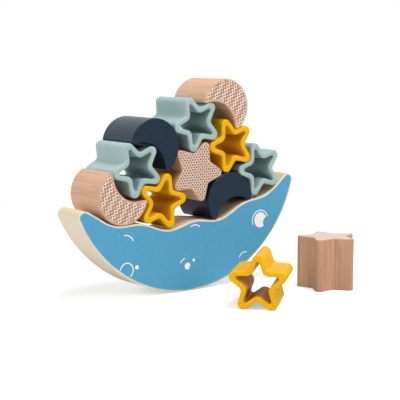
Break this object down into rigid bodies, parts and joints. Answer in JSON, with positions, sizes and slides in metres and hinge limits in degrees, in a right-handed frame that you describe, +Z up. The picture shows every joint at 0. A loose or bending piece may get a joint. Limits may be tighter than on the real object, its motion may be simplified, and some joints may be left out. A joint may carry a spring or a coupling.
{
  "type": "stacking balance game",
  "caption": "Crescent rocker board with a wavy top and star and crescent blocks piled on it; a yellow star and a wooden star stand beside it.",
  "frame": {"origin": "where the front edge of the rolling face meets the table", "axes": "+X along the board to the right as seen from its printed face, +Y from the printed face to the plain back, +Z up"},
  "size_m": [0.2158, 0.1371, 0.161],
  "materials": {
    "plywood": "bare birch plywood, fine plies along the edge",
    "blue_print": "flat blue print on wood, satin",
    "white_print": "flat white print on wood, satin",
    "beech": "smooth sanded beech, printed lattice on one end",
    "yellow_silicone": "satin silicone",
    "sage_silicone": "satin silicone",
    "navy_paint": "satin navy paint on wood"
  },
  "bodies": {
    "root": {"rocker_board": "plywood", "blue_field": "blue_print", "white_marks": "white_print", "beech_crescent_low": "beech", "yellow_star_left": "yellow_silicone", "navy_crescent_lower": "navy_paint", "sage_star_left": "sage_silicone", "beech_star_middle": "beech", "sage_star_right": "sage_silicone", "navy_crescent_upper": "navy_paint", "yellow_star_right": "yellow_silicone", "sage_star_top": "sage_silicone", "beech_crescent_top": "beech", "yellow_star_loose": "yellow_silicone", "beech_star_loose": "beech"}
  },
  "joints": []
}
